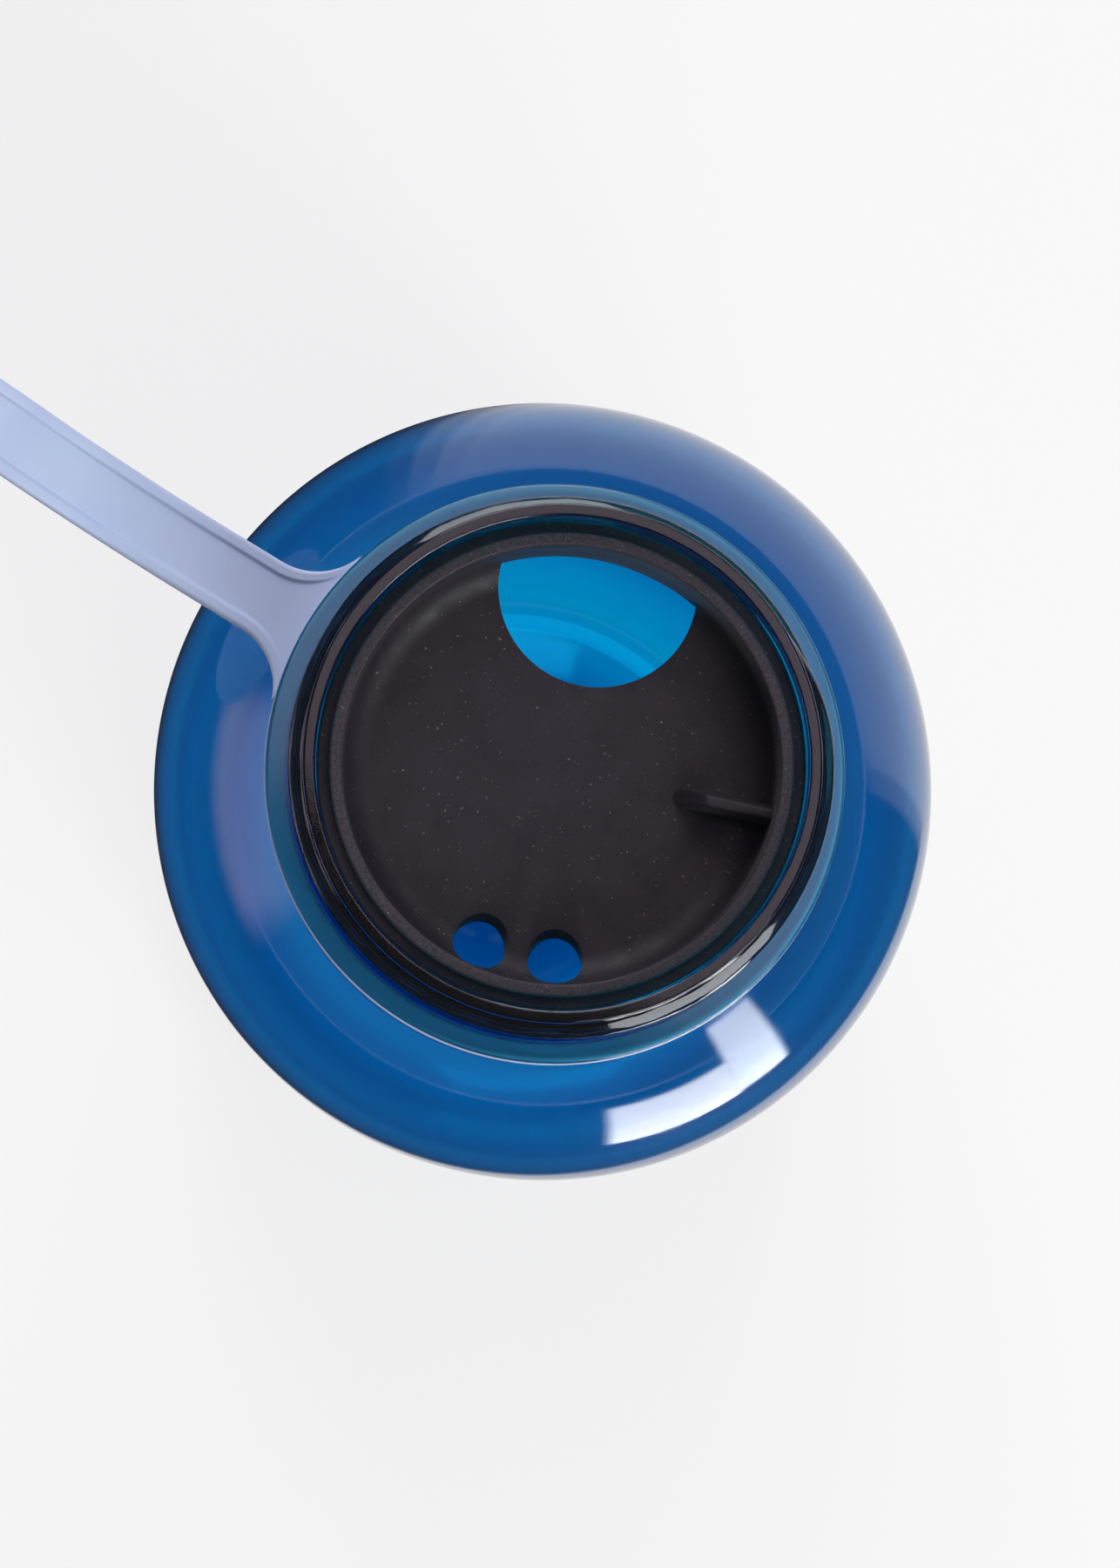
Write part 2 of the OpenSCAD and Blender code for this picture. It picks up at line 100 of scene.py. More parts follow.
def outline(parts, closed=False, steps=6):
    """A line through its parts, each an array of points or one corner (a, b, fillet). A corner is
    replaced by an arc that touches both sides at fillet * tan(half the turn) from it, with one more
    point a little before and after, which keeps the flats beside it flat."""
    points, fillets = [], []
    for part in parts:
        if isinstance(part, np.ndarray):
            points.extend(part.tolist())
            fillets.extend([0.0] * len(part))
        else:
            points.append([part[0], part[1]])
            fillets.append(part[2] if len(part) > 2 else 0.0)
    points = np.array(points)
    count = len(points)
    made = []
    for i, (p, fillet) in enumerate(zip(points, fillets)):
        if fillet == 0 or (not closed and i in (0, count - 1)):
            made.append([p])
            continue
        before, after = points[i - 1] - p, points[(i + 1) % count] - p
        room = min(np.linalg.norm(before), np.linalg.norm(after))
        before, after = before / np.linalg.norm(before), after / np.linalg.norm(after)
        half = math.acos(float(np.clip(before @ after, -1, 1))) / 2
        touch = min(fillet / math.tan(half), room * FILLET_SHARE)
        radius = touch * math.tan(half)
        middle = p + (before + after) / np.linalg.norm(before + after) * (radius / math.sin(half))
        a, b = p + before * touch - middle, p + after * touch - middle
        whole = math.acos(float(np.clip(a @ b / (radius * radius), -1, 1)))
        share = np.linspace(0, 1, steps + 1)[:, None]
        curve = middle + (np.sin((1 - share) * whole) * a + np.sin(share * whole) * b) / math.sin(whole)
        hold = min(HOLD, room * HOLD_SHARE)
        made.append(np.vstack([p + before * (touch + hold), curve, p + after * (touch + hold)]))
    line = np.vstack(made)
    keep = np.ones(len(line), bool)
    keep[1:] = np.linalg.norm(np.diff(line, axis=0), axis=1) > SAME_POINT
    return line[keep]


def dense(line, low, high, step, beyond=0.0):
    """The same line with its straight stretches between heights low and high, and further out than
    radius beyond, cut every step."""
    made = [line[:1]]
    for a, b in zip(line[:-1], line[1:]):
        bottom, top = min(a[1], b[1]), max(a[1], b[1])
        inside = bottom < high and top > low and top - bottom > step and a[0] > beyond
        count = int((top - bottom) / step) + 1 if inside else 1
        made.append(a + (b - a) * np.linspace(0, 1, count + 1)[1:, None])
    return np.vstack(made)


def smooth(x):
    """0 below 0, 1 above 1 and 3x^2 - 2x^3 between."""
    x = np.clip(x, 0, 1)
    return x * x * (3 - 2 * x)


def unit(v):
    return np.asarray(v, float) / np.linalg.norm(v)


# ---- Meshes ----

def grid_mesh(name, points, wrap_rows, wrap_columns, cap_ends=False):
    """An object from a grid of points [row, column, xyz] in millimetres. Each face joins point
    (i, j), (i, j+1), (i+1, j+1) and (i+1, j). A first or last row that is one single point is a
    pole, and cap_ends closes those rows with a flat face each."""
    rows, columns = points.shape[:2]
    flat = points.reshape(-1, 3) * MM
    index = np.arange(rows * columns).reshape(rows, columns)
    poles = [np.ptp(points[i], axis=0).max() < 1e-9 for i in (0, rows - 1)]
    i = np.arange(rows if wrap_rows else rows - 1)
    j = np.arange(columns if wrap_columns else columns - 1)
    i, j = np.meshgrid(i, j, indexing="ij")
    k, m = (i + 1) % rows, (j + 1) % columns
    quads = np.stack([index[i, j], index[i, m], index[k, m], index[k, j]], -1).reshape(-1, 4)
    last_row = (rows - 1) * columns
    at_first, at_last = (quads[:, 0] < columns) & poles[0], (quads[:, 3] >= last_row) & poles[1]
    plain, first, last = quads[~at_first & ~at_last], quads[at_first], quads[at_last]
    others = np.column_stack([np.zeros(len(first), int), first[:, 2], first[:, 3]]).tolist()
    others += np.column_stack([last[:, 0], last[:, 1], np.full(len(last), last_row)]).tolist()
    if cap_ends:
        others += [index[0, ::-1].tolist(), index[-1].tolist()]
    used = np.unique(np.concatenate([plain.ravel(), *[np.array(face) for face in others]]))
    renumber = np.full(len(flat), -1)
    renumber[used] = np.arange(len(used))
    faces = renumber[plain].tolist() + [renumber[face].tolist() for face in others]
    mesh = bpy.data.meshes.new(name)
    mesh.from_pydata(flat[used].tolist(), [], faces)
    rounded = np.ones(len(mesh.polygons), bool)
    if cap_ends:
        rounded[-2:] = False
    mesh.polygons.foreach_set("use_smooth", rounded)
    mesh.update()
    made = bpy.data.objects.new(name, mesh)
    scene.collection.objects.link(made)
    return made


def lathe_points(line, columns, push=None):
    """Turns an outline [radius, height] round the Z axis: (r cos a, r sin a, z), where push(r, z, a)
    gives how far each point moves outwards."""
    a = np.arange(columns) * 2 * math.pi / columns
    r = np.repeat(line[:, :1], columns, axis=1)
    z = np.repeat(line[:, 1:], columns, axis=1)
    if push is not None:
        r = r + push(r, z, a[None, :])
    r = np.where(line[:, :1] < 1e-6, 0.0, r)
    return np.stack([r * np.cos(a), r * np.sin(a), z], -1)


def turned(points, degrees):
    """Points [..., xyz] turned round the Z axis."""
    c, d = math.cos(math.radians(degrees)), math.sin(math.radians(degrees))
    return points @ np.array([[c, d, 0], [-d, c, 0], [0, 0, 1]])


def set_on(points, origin, x, y, z):
    """Points of a lathe moved so that its axes lie along x, y and z from origin."""
    return origin + points[..., :1] * x + points[..., 1:2] * y + points[..., 2:] * z


def select_only(*pieces):
    for other in bpy.context.selected_objects:
        other.select_set(False)
    for piece in pieces:
        piece.select_set(True)
    bpy.context.view_layer.objects.active = pieces[0]


def joined(name, *pieces):
    """One object out of several that touch."""
    select_only(*pieces)
    bpy.ops.object.join()
    pieces[0].name = name
    return pieces[0]


FLANK_GAIN = 1.12               # a thread's flanks reach its full height before their own end
EDGE_FROM, EDGE_RUN, EDGE_DROP = 0.8, 0.5, 0.1   # where its crest's edges are rounded off, and by how much


def ridge(z, a, top, height, turns, start=0.0):
    """How far a thread stands off its wall. Its middle falls from height top by one pitch a turn,
    clockwise from start, and its section is a trapezium: height * (half base - |z - middle|) over the
    slope's run, cut off at its crest and rounded. It fades away at both ends."""
    turn = np.mod(math.radians(start) - a, 2 * math.pi) / (2 * math.pi)
    out = np.zeros(np.broadcast(z, a).shape)
    for whole in range(int(math.ceil(turns))):
        along = turn + whole
        fade = smooth(np.minimum(along, turns - along) * 360 / THREAD_FADE)
        away = np.abs(z - (top - THREAD_PITCH * along))
        rise = (THREAD_BASE / 2 - away) / ((THREAD_BASE - THREAD_CREST) / 2)
        stands = -THREAD_FOOT + (height + THREAD_FOOT) * np.clip(rise * FLANK_GAIN, 0, 1)
        rounded = stands - EDGE_DROP * (1 - smooth((rise - EDGE_FROM) / EDGE_RUN))
        stands = np.where(rise > EDGE_FROM, rounded, stands)
        out = np.maximum(out, np.where(along <= turns, np.minimum(stands, height) * fade, 0))
    return out


# ---- Nodes ----

NOISE_SPAN = (0.3, 0.7)         # where nearly all of a noise's values lie


def linear(red, green, blue):
    """The linear colour of an 8-bit screen colour."""
    c = np.array([red, green, blue]) / 255
    return tuple(np.where(c <= 0.04045, c / 12.92, ((c + 0.055) / 1.055) ** 2.4)) + (1.0,)


def new_material(name):
    """A material, its node tree, its shader and its output."""
    made = bpy.data.materials.new(name)
    made.use_nodes = True
    tree = made.node_tree
    return made, tree, tree.nodes["Principled BSDF"], tree.nodes["Material Output"]


def feed(tree, socket, source):
    """Gives a socket the output of another node, or a value of its own."""
    if isinstance(source, bpy.types.NodeSocket):
        tree.links.new(source, socket)
    else:
        socket.default_value = source


def maths(tree, operation, first, second):
    made = tree.nodes.new("ShaderNodeMath")
    made.operation = operation
    feed(tree, made.inputs[0], first)
    feed(tree, made.inputs[1], second)
    return made.outputs[0]


def own_place(tree):
    """The place of a point on the object itself, in metres."""
    made = tree.nodes.get("Place") or tree.nodes.new("ShaderNodeTexCoord")
    made.name = "Place"
    return made.outputs["Object"]


def noise(tree, scale, detail=3.0, roughness=0.55):
    """Noise on the object's own coordinates, with scale waves a metre."""
    made = tree.nodes.new("ShaderNodeTexNoise")
    made.inputs["Scale"].default_value = scale
    made.inputs["Detail"].default_value = detail
    made.inputs["Roughness"].default_value = roughness
    tree.links.new(own_place(tree), made.inputs["Vector"])
    return made.outputs["Fac"]


def ramp(tree, source, stops):
    """A colour that runs through the stops (value, colour)."""
    made = tree.nodes.new("ShaderNodeValToRGB")
    for n, (value, colour) in enumerate(stops):
        stop = made.color_ramp.elements[n] if n < 2 else made.color_ramp.elements.new(value)
        stop.position, stop.color = value, colour
    tree.links.new(source, made.inputs["Fac"])
    return made.outputs["Color"]


def mottle(tree, source, low, high):
    """A colour that drifts from low to high with a noise."""
    return ramp(tree, source, list(zip(NOISE_SPAN, (low, high))))


def remap(tree, source, before, after):
    """Maps the span before to the span after, and holds the ends beyond it."""
    made = tree.nodes.new("ShaderNodeMapRange")
    for socket, value in zip(("From Min", "From Max", "To Min", "To Max"), (*before, *after)):
        made.inputs[socket].default_value = value
    tree.links.new(source, made.inputs["Value"])
    return made.outputs["Result"]


def mixed(tree, share, first, second):
    """The first colour where share is 0 and the second where it is 1."""
    made = tree.nodes.new("ShaderNodeMix")
    made.data_type = "RGBA"
    for socket, source in zip(("Factor", "A", "B"), (share, first, second)):
        feed(tree, made.inputs[socket], source)
    return made.outputs["Result"]


def mixed_shaders(tree, share, first, second):
    made = tree.nodes.new("ShaderNodeMixShader")
    for socket, source in zip(made.inputs, (share, first, second)):
        tree.links.new(source, socket)
    return made.outputs["Shader"]


def bump(tree, shader, heights, strength):
    """Adds (noise, depth in metres) layers of relief, one on the other."""
    normal = None
    for height, depth in heights:
        made = tree.nodes.new("ShaderNodeBump")
        made.inputs["Strength"].default_value = strength
        made.inputs["Distance"].default_value = depth
        tree.links.new(height, made.inputs["Height"])
        if normal is not None:
            tree.links.new(normal, made.inputs["Normal"])
        normal = made.outputs["Normal"]
    tree.links.new(normal, shader.inputs["Normal"])


def ray_kinds(tree, *kinds):
    """1 for rays of any of these kinds and 0 for all others."""
    path = tree.nodes.new("ShaderNodeLightPath")
    seen = path.outputs[kinds[0]]
    for kind in kinds[1:]:
        seen = maths(tree, "MAXIMUM", seen, path.outputs[kind])
    return seen


# ---- Materials of the bottle ----

RIM_DUST_AND_LIGHT_LOW, RIM_DUST_AND_LIGHT_HIGH, RIM_DUST_AND_LIGHT_MOST = 0.35, 0.1, 0.75    # where below its rim's top the guard is painted paler, partly for dust and partly as painted light falling on the rim's top, and how much


def blue_plastic():
    """Clear blue plastic: smooth, and deeper in colour the thicker it is."""
    made, tree, shader, output = new_material("blue_bottle_plastic")
    shader.inputs["Transmission Weight"].default_value = 1.0
    shader.inputs["IOR"].default_value = 1.57
    drift = mottle(tree, noise(tree, 60.0, 2.0), (0.96, 0.985, 1.0, 1), (0.99, 0.995, 1.0, 1))
    tree.links.new(drift, shader.inputs["Base Color"])
    polish = remap(tree, noise(tree, 220.0, 4.0), NOISE_SPAN, (0.05, 0.085))
    tree.links.new(polish, shader.inputs["Roughness"])
    bump(tree, shader, [(noise(tree, 30.0, 1.0), 0.00004), (noise(tree, 1400.0, 3.0), 0.000002)], 0.5)
    depth = tree.nodes.new("ShaderNodeVolumeAbsorption")
    depth.inputs["Color"].default_value = (0.0, 0.848, 0.929, 1)
    depth.inputs["Density"].default_value = 1700.0
    tree.links.new(depth.outputs["Volume"], output.inputs["Volume"])
    return made


def black_silicone():
    """Matte black silicone with a fine grain and a few pale specks of dust. It is greyer at the top of its
    rim: partly dust there, partly painted light where light falls on the rim's top."""
    made, tree, shader, _ = new_material("black_guard_silicone")
    body = mottle(tree, noise(tree, 160.0, 4.0), linear(29, 26, 35), linear(37, 33, 42))
    dust = ramp(tree, noise(tree, 2600.0, 2.0, 0.4), [(0.71, (0, 0, 0, 1)), (0.78, (1, 1, 1, 1))])
    apart = tree.nodes.new("ShaderNodeSeparateXYZ")
    tree.links.new(own_place(tree), apart.inputs["Vector"])
    # Painted light and dust: a band at the top of the rim is painted paler, for dust and for the light that
    # falls on it.
    rim = ((GUARD_Z - RIM_DUST_AND_LIGHT_LOW) * MM, (GUARD_Z - RIM_DUST_AND_LIGHT_HIGH) * MM)
    rim_dust_and_light = remap(tree, apart.outputs["Z"], rim, (0.0, RIM_DUST_AND_LIGHT_MOST))
    rim_dust_and_light_tone = ramp(tree, noise(tree, 3200.0, 3.0), [(0.35, linear(38, 34, 40)), (0.68, linear(68, 62, 69))])
    clean = mixed(tree, rim_dust_and_light, body, rim_dust_and_light_tone)
    tree.links.new(mixed(tree, dust, clean, linear(112, 108, 112)), shader.inputs["Base Color"])
    matte = remap(tree, noise(tree, 300.0, 4.0), NOISE_SPAN, (0.5, 0.66))
    tree.links.new(matte, shader.inputs["Roughness"])
    shader.inputs["IOR"].default_value = 1.42
    shader.inputs["Sheen Weight"].default_value = 0.06
    bump(tree, shader, [(noise(tree, 900.0, 3.0), 0.00004), (noise(tree, 3500.0, 3.0), 0.000015)], 0.6)
    return made


def pale_plastic(name, low, high, roughness, grain):
    """Satin moulded plastic: its colour drifts a little between low and high."""
    made, tree, shader, _ = new_material(name)
    drift = mottle(tree, noise(tree, 70.0, 4.0), linear(*low), linear(*high))
    tree.links.new(drift, shader.inputs["Base Color"])
    satin = remap(tree, noise(tree, 240.0, 4.0), NOISE_SPAN, (roughness - 0.06, roughness + 0.06))
    tree.links.new(satin, shader.inputs["Roughness"])
    shader.inputs["IOR"].default_value = 1.47
    bump(tree, shader, [(noise(tree, 120.0, 2.0), grain * 3), (noise(tree, 2200.0, 3.0), grain)], 0.5)
    return made


def shade(piece, material):
    piece.data.materials.clear()
    piece.data.materials.append(material)


# ---- Camera: nearly straight down into the mouth, with the strap leaving to the upper left ----

def look_down():
    """The camera's turn has rows x, y, z: z towards the camera leans off the bottle's axis, and x lies
    so that the strap's way out, world -X, points at strap_angle in the view. The focal length and the
    lip's middle are in pixels of a view picture_h high, and the distance to the lip is in millimetres."""
    focal, picture_h, centre, distance = 6357.0, 1800.0, (643.0, 900.0), 626.0
    lip, strap_angle, lean, sensor = (646.5, 875.3), 148.5, (265.3, 360.7), 36.0
    back = unit([*lean, focal])
    a = math.radians(strap_angle)
    towards = np.array([math.cos(a), math.sin(a), 0])
    right = -unit(towards - (towards @ back) * back)
    turn = np.column_stack([right, np.cross(back, right), back])
    across, up = lip[0] - centre[0], centre[1] - lip[1]
    seen = np.array([across / focal * distance, up / focal * distance, -distance])
    spot = np.array([0, 0, BOTTLE_H]) - turn.T @ seen
    camera = bpy.data.objects.new("camera", bpy.data.cameras.new("camera"))
    camera.data.sensor_width = sensor
    camera.data.lens = focal * sensor / picture_h
    camera.data.clip_start, camera.data.clip_end = 0.02, 20.0
    scene.collection.objects.link(camera)
    camera.matrix_world = Matrix.Translation(Vector(spot * MM)) @ Matrix(turn.T.tolist()).to_4x4()
    scene.camera = camera


look_down()


# ---- Bottle ----

def bottle_line():
    """Half-outline of the bottle, from the middle of its underside up the outside, over the lip and
    down the inside to the middle of its floor."""
    base = (BODY_R - BASE_R, BASE_R)
    shoulder_x = BODY_R - SHOULDER_R
    root_x = LEDGE_R + ROOT_R
    shoulder_z = ROOT_Z - math.sqrt((SHOULDER_R + ROOT_R) ** 2 - (root_x - shoulder_x) ** 2)
    lean = math.degrees(math.atan2(ROOT_Z - shoulder_z, root_x - shoulder_x))
    inner_root = ROOT_R + WALL
    inner_root_x = MOUTH_R + inner_root
    inner_root_z = shoulder_z + math.sqrt((SHOULDER_R + ROOT_R) ** 2 - (inner_root_x - shoulder_x) ** 2)
    inner_lean = math.degrees(math.atan2(inner_root_z - shoulder_z, inner_root_x - shoulder_x))
    dish = (DISH_R ** 2 + DISH_H ** 2) / (2 * DISH_H)
    rim = math.degrees(math.acos(DISH_R / dish))
    inner_dish = dish + FLOOR_T
    inner_rim = math.degrees(math.asin((FLOOR_T + dish - DISH_H) / inner_dish))
    flange_top = FLANGE_Z + FLANGE_T
    line = outline([
        arc((0, DISH_H - dish), dish, 90, rim, 24)[:-1], (DISH_R, 0, 0.8),
        arc(base, BASE_R, -90, 0, 28),
        arc((shoulder_x, shoulder_z), SHOULDER_R, 0, lean, 56)[:-1],
        arc((root_x, ROOT_Z), ROOT_R, 180 + lean, 181, 22),
        (LEDGE_R, LEDGE_Z, 0.2), (SEAT_R, LEDGE_Z, 0.15), (SEAT_R, FLANGE_Z, 0.25),
        (FLANGE_R, FLANGE_Z, 0.35), (FLANGE_R, flange_top, 0.35), (NECK_R, flange_top, 0.8),
        (NECK_R, BOTTLE_H, LIP_ROUND), (MOUTH_R, BOTTLE_H, LIP_ROUND),
        arc((inner_root_x, inner_root_z), inner_root, 180, 180 + inner_lean, 22)[:-1],
        arc((shoulder_x, shoulder_z), SHOULDER_R - WALL, inner_lean, 0, 48),
        arc(base, BASE_R - WALL, 0, -84, 22) + [0, FLOOR_T - WALL],
        (DISH_R + 1.0, FLOOR_T, 0.6),
        arc((0, DISH_H - dish), inner_dish, inner_rim + 1.0, 90, 22),
    ])
    line[0, 0] = line[-1, 0] = 0.0
    return dense(line, THREAD_LOW, THREAD_HIGH, THREAD_STEP, MOUTH_R + 0.5)


def bottle_push(r, z, a):
    """The thread stands off the outside of the neck only."""
    outside = np.abs(r - NECK_R) < 0.02
    return np.where(outside, ridge(z, a, BOTTLE_H - THREAD_DROP, THREAD_H, THREAD_TURNS, THREAD_START), 0.0)


bottle = grid_mesh("blue_bottle", lathe_points(bottle_line(), 240, bottle_push), False, True)
shade(bottle, blue_plastic())
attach(bottle, "bottle")
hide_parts("bottle_body")


# ---- Splash guard, drawn with its drinking hole on the Y axis and then turned into place ----

def guard_line():
    """Half-outline of the cup: base, outer wall with two sealing fins, rim, inner wall, filleted floor."""
    parts = [(0, GUARD_BASE), (GUARD_OUT, GUARD_BASE, 0.5)]
    for low in FINS:
        parts += [(GUARD_OUT, low, 0.12), (FIN_R, low, 0.35),
                  (FIN_R, low + FIN_T, 0.35), (GUARD_OUT, low + FIN_T, 0.12)]
    hollow = arc((GUARD_IN - GUARD_FILLET, GUARD_FLOOR + GUARD_FILLET), GUARD_FILLET, 0, -90, 14)
    parts += [(GUARD_OUT, GUARD_Z, 0.3), (GUARD_IN, GUARD_Z, 0.3), hollow, (0, GUARD_FLOOR)]
    return outline(parts, steps=5)


def drink_points():
    """The drinking hole's cutter, drawn straight up: where its circle and the cup's inner circle
    overlap, less a hair's breadth that keeps it off the cup's wall."""
    half = DRINK_D / 2
    meet = (GUARD_IN ** 2 - half ** 2 + DRINK_Y ** 2) / (2 * DRINK_Y)
    x = math.sqrt(GUARD_IN ** 2 - meet ** 2)
    on_cup = math.degrees(math.atan2(meet, x))
    on_hole = math.degrees(math.atan2(meet - DRINK_Y, x))
    far = arc((0, 0), GUARD_IN - 0.02, on_cup, 180 - on_cup, 40)
    near = arc((0, DRINK_Y), half, -180 - on_hole, on_hole, 90)
    plan = np.vstack([far, near[1:-1]])
    return np.stack([np.column_stack([plan, np.full(len(plan), GUARD_BASE + rise)]) for rise in DRINK_CUT])


def vent_points(side):
    """A vent's cutter: a circle carried along an axis that leans back towards the middle as it rises."""
    lean, t = math.radians(VENT_LEAN), np.linspace(0, 2 * math.pi, 49)[:-1]
    x, y = VENT_D / 2 * np.cos(t), VENT_D / 2 * np.sin(t)
    rows = [np.column_stack([x, VENT_Y + y * math.cos(lean) + k * math.sin(lean),
                             GUARD_FLOOR - y * math.sin(lean) + k * math.cos(lean)])
            for k in (-VENT_CUT, VENT_CUT)]
    return turned(np.stack(rows), side * VENT_SIDE)


def finger_rib_points():
    """The finger rib: y = w sin^0.55, z = h cos^0.45 across, which is a bar with a rounded top. Its
    height h rises in a slope from its nose, and its half width w closes there in a half circle."""
    nose = FINGER_W / 2
    x = np.concatenate([FINGER_FOOT + np.linspace(0.002, 1, 16) ** 2 * 1.6,
                        np.linspace(FINGER_FOOT + 1.8, GUARD_IN + 0.7, 40)])
    w = nose * np.sqrt(np.clip(1 - np.clip((FINGER_FOOT + nose - x) / nose, 0, 1) ** 2, 0.003, 1))
    h = FINGER_SUNK + FINGER_H * smooth((x - FINGER_FOOT + 0.5) / (FINGER_SLOPE + 0.9))
    t = np.linspace(math.pi / 2, -math.pi / 2, 41)
    y = w[:, None] * np.sign(np.sin(t)) * np.abs(np.sin(t)) ** 0.55
    z = GUARD_FLOOR - FINGER_SUNK + h[:, None] * np.abs(np.cos(t)) ** 0.45
    return np.stack([np.repeat(x[:, None], len(t), 1), y, z], -1)


def guard_solid(name, points):
    """A closed solid of the guard from its rows of points, turned into place."""
    return grid_mesh(name, turned(points, GUARD_TURN), False, True, cap_ends=True)


def cut_holes(piece, cutters):
    """Takes the cutters out of the piece and softens the new edges."""
    for cutter in cutters:
        hole = piece.modifiers.new("hole", "BOOLEAN")
        hole.operation, hole.object, hole.solver = "DIFFERENCE", cutter, "EXACT"
    edge = piece.modifiers.new("edge", "BEVEL")
    edge.width, edge.segments = 0.25 * MM, 3
    edge.limit_method, edge.angle_limit = "ANGLE", math.radians(45)
    select_only(piece)
    for change in list(piece.modifiers):
        bpy.ops.object.modifier_apply(modifier=change.name)
    for cutter in cutters:
        bpy.data.objects.remove(cutter)
    piece.data.polygons.foreach_set("use_smooth", np.ones(len(piece.data.polygons), bool))
    piece.data.set_sharp_from_angle(angle=math.radians(38))


guard = grid_mesh("guard_cup", turned(lathe_points(guard_line(), 200), GUARD_TURN), False, True)
drink = guard_solid("drink", drink_points())
vents = [guard_solid("vent", vent_points(side)) for side in (-1, 1)]
cut_holes(guard, [drink, *vents])
guard = joined("splash_guard_cup", guard, guard_solid("rib", finger_rib_points()))
shade(guard, black_silicone())
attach(guard, "guard")
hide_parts("splash_guard")


# ---- Tether: one moulding of ring, strap and eye ----

# The strap's line: how long each stretch is, and how many degrees it turns upwards
RISE_LEN, ARCH_LEN = math.radians(RISE_TURN) * RISE_R, math.radians(ARCH_TURN) * ARCH_R
STEPS = [(ROOT_LEN, 0.0), (RISE_LEN, RISE_TURN), (ARCH_LEN, -ARCH_TURN), (END_LEN, 0.0)]
# Four places where it bends, as lengths from the ring, and a reach either side of each
FLEX = [ROOT_LEN, ROOT_LEN + RISE_LEN, ROOT_LEN + RISE_LEN + ARCH_LEN / 2, ROOT_LEN + RISE_LEN + ARCH_LEN]
REACH = 8.0
EYE_S = FLEX[3] + END_LEN
# Where its pieces join: inside the ring, half way between its bends, and short of the eye
JOINS = [-1.5] + [(a + b) / 2 for a, b in zip(FLEX[:-1], FLEX[1:])] + [FLEX[3] + 14.0]
BENDS = [("strap_root", "ring", "link_1", ["tether_ring", "strap_link_1"]),
         ("strap_rise", "link_1", "link_2", ["strap_link_1", "strap_link_2"]),
         ("strap_arch", "link_2", "link_3", ["strap_link_2", "strap_link_3"]),
         ("strap_fall", "link_3", "eye", ["strap_link_3", "strap_end"])]
# A row of the strap's mesh every ROW, and one END_ROW inside each end
ROW, END_ROW = 0.35, 0.01
# The web rises to the rims from FILL_ROOT off the ring, and from FILL_EYE off the eye, over FILL_RUN
FILL_ROOT, FILL_EYE, FILL_RUN, FILL_REACH = 3.4, 4.0, 5.0, 0.36


def strap_line(s):
    """Where the strap's middle line is at length s from the ring: how far out, how high, and its slope
    in radians. Each step is straight, or an arc whose slope changes evenly along it."""
    u, h, slope, start = RING_OUT, 0.0, 0.0, 0.0
    out = np.stack([u + s, np.zeros_like(s), np.zeros_like(s)])
    for length, degrees in STEPS:
        turn = math.radians(degrees)
        along = s - start
        if turn == 0:
            step = np.stack([u + along * math.cos(slope), h + along * math.sin(slope), np.full_like(s, slope)])
            u += length * math.cos(slope)
            h += length * math.sin(slope)
        else:
            radius = length / turn
            angle = slope + along / radius
            step = np.stack([u + radius * (np.sin(angle) - math.sin(slope)),
                             h + radius * (math.cos(slope) - np.cos(angle)), angle])
            u += radius * (math.sin(slope + turn) - math.sin(slope))
            h += radius * (math.cos(slope) - math.cos(slope + turn))
        out = np.where(along > 0, step, out)
        slope += turn
        start += length
    return out


def strap_point(s):
    """The point on the strap's middle line at length s, in metres."""
    u, h, _ = strap_line(np.array([s]))
    return (-u[0] * MM, 0.0, (STRAP_Z + h[0]) * MM)


def strap_half_width(s):
    """Half the strap's width: even, with a hollow flare towards the ring and another towards the eye,
    each w = half width + R - sqrt(R^2 - d^2), where d is how far s has gone into the flare."""
    root = math.sqrt((RING_OUT + FLARE_R) ** 2 - (HALF_W + FLARE_R) ** 2) - RING_OUT
    eye = math.sqrt((EYE_OUT + EYE_FLARE_R) ** 2 - (HALF_W + EYE_FLARE_R) ** 2)
    near = np.clip(root - s, 0, FLARE_R * 0.98)
    far = np.clip(s - (EYE_S - eye), 0, EYE_FLARE_R * 0.9)
    return (HALF_W + FLARE_R - np.sqrt(FLARE_R ** 2 - near ** 2)
            + EYE_FLARE_R - np.sqrt(EYE_FLARE_R ** 2 - far ** 2))


def strap_section():
    """The strap's section, [across, thickness], anticlockwise: a thin web between two rounded rims."""
    web = HALF_W - RIM_W
    rim = [(HALF_W, HALF_T, 0.5), (web + RIM_RUN, HALF_T, 0.3), (web, HALF_WEB, 0.3)]
    upper = rim + [(-a, b, fillet) for a, b, fillet in rim[::-1]]
    lower = [(-a, -b, fillet) for a, b, fillet in upper]
    return outline(lower[-1:] + upper + lower[:-1], closed=True, steps=4)


def strap_piece(name, start, end):
    """The stretch of strap from length start to end: its section set square to the line, its edges
    moved out with the strap's half width, and its web filled up to the rims where a flare begins.
    The row just inside each end lets the shading run straight on past a join."""
    s = np.linspace(start, end, int((end - start) / ROW) + 2)
    s = np.concatenate([s[:1], [start + END_ROW], s[1:-1], [end - END_ROW], s[-1:]])
    u, h, slope = strap_line(s)
    across, thick = strap_section()[::-1].T
    extra = (strap_half_width(s) - HALF_W)[:, None]
    side = across[None, :] + np.sign(across) * extra * np.clip(np.abs(across) / (HALF_W - RIM_W), 0, 1)
    filled = smooth(np.maximum(FILL_ROOT - s, s - (EYE_S - EYE_OUT - FILL_EYE)) / FILL_RUN)[:, None]
    inner = np.abs(across)[None, :] < HALF_W - RIM_W + FILL_REACH
    height = np.where(inner, thick + np.sign(thick) * (HALF_T - np.abs(thick)) * filled, thick)
    x = -(u[:, None] - np.sin(slope)[:, None] * height)
    z = STRAP_Z + h[:, None] + np.cos(slope)[:, None] * height
    return grid_mesh(name, np.stack([x, side, z], -1), False, True, cap_ends=True)


